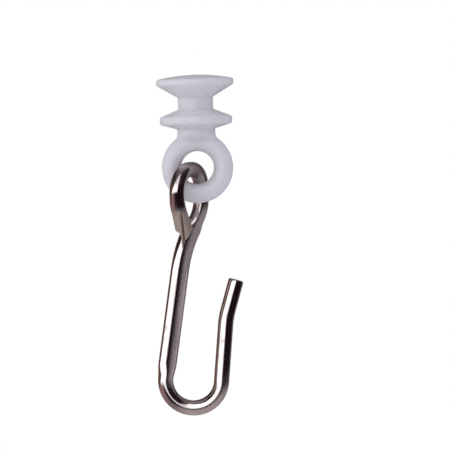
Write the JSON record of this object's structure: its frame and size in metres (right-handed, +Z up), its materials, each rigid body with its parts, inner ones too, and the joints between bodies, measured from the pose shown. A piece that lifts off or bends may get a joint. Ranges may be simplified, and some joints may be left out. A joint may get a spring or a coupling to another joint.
{
  "type": "curtain track hook",
  "caption": "Nylon track glider with a ring, and a bent wire hook linked through the ring to hang a curtain or cubicle screen.",
  "frame": {"origin": "middle of the glider's neck, on its axis, where the lips of the track run", "axes": "+Z up, along the glider's axis from the ring to the head; Y along the ring's axis; +X towards the free end of the hook"},
  "size_m": [0.0127, 0.0112, 0.049],
  "materials": {
    "nylon": "natural white nylon, faintly translucent, moulded satin",
    "plated_wire": "bright nickel plate on drawn steel wire"
  },
  "bodies": {
    "carrier": {"carrier": "nylon"},
    "hook": {"hook": "plated_wire"}
  },
  "joints": [
    {"name": "hook_swing", "type": "hinge", "parent": "carrier", "child": "hook", "pos_m": [0, 0, -0.00922], "axis": [0, 1, 0], "range_deg": [-132, 112]}
  ]
}
